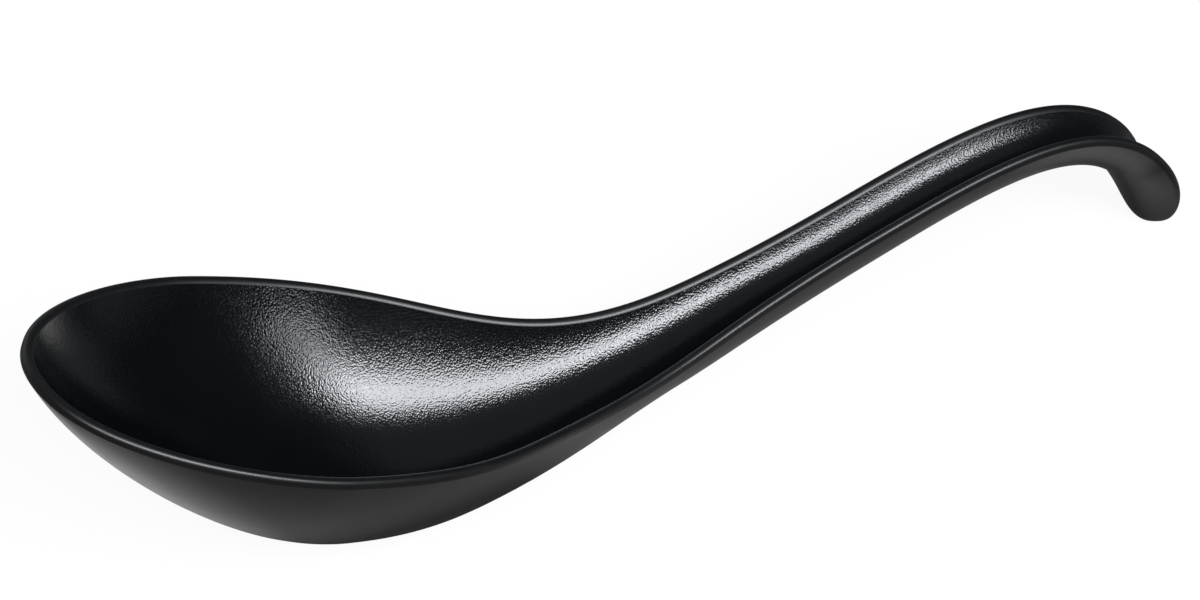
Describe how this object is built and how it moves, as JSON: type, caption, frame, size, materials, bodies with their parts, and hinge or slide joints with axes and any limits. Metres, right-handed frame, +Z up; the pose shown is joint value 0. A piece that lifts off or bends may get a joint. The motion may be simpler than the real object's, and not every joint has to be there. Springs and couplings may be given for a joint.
{
  "type": "soup spoon",
  "caption": "Matte black soup spoon with a deep oval bowl, a channelled handle and a down-turned hook that hangs on a bowl's rim.",
  "frame": {"origin": "On the small flat of the bowl's underside, where the spoon lies on a table.", "axes": "+X from the bowl towards the hook, +Z up from the table, +Y to the left when looking from the bowl to the hook."},
  "size_m": [0.1653, 0.045, 0.0393],
  "materials": {
    "body": "matte black melamine, with a fine pebbled grain inside the bowl and the channel"
  },
  "bodies": {
    "root": {"spoon": "body"}
  },
  "joints": []
}
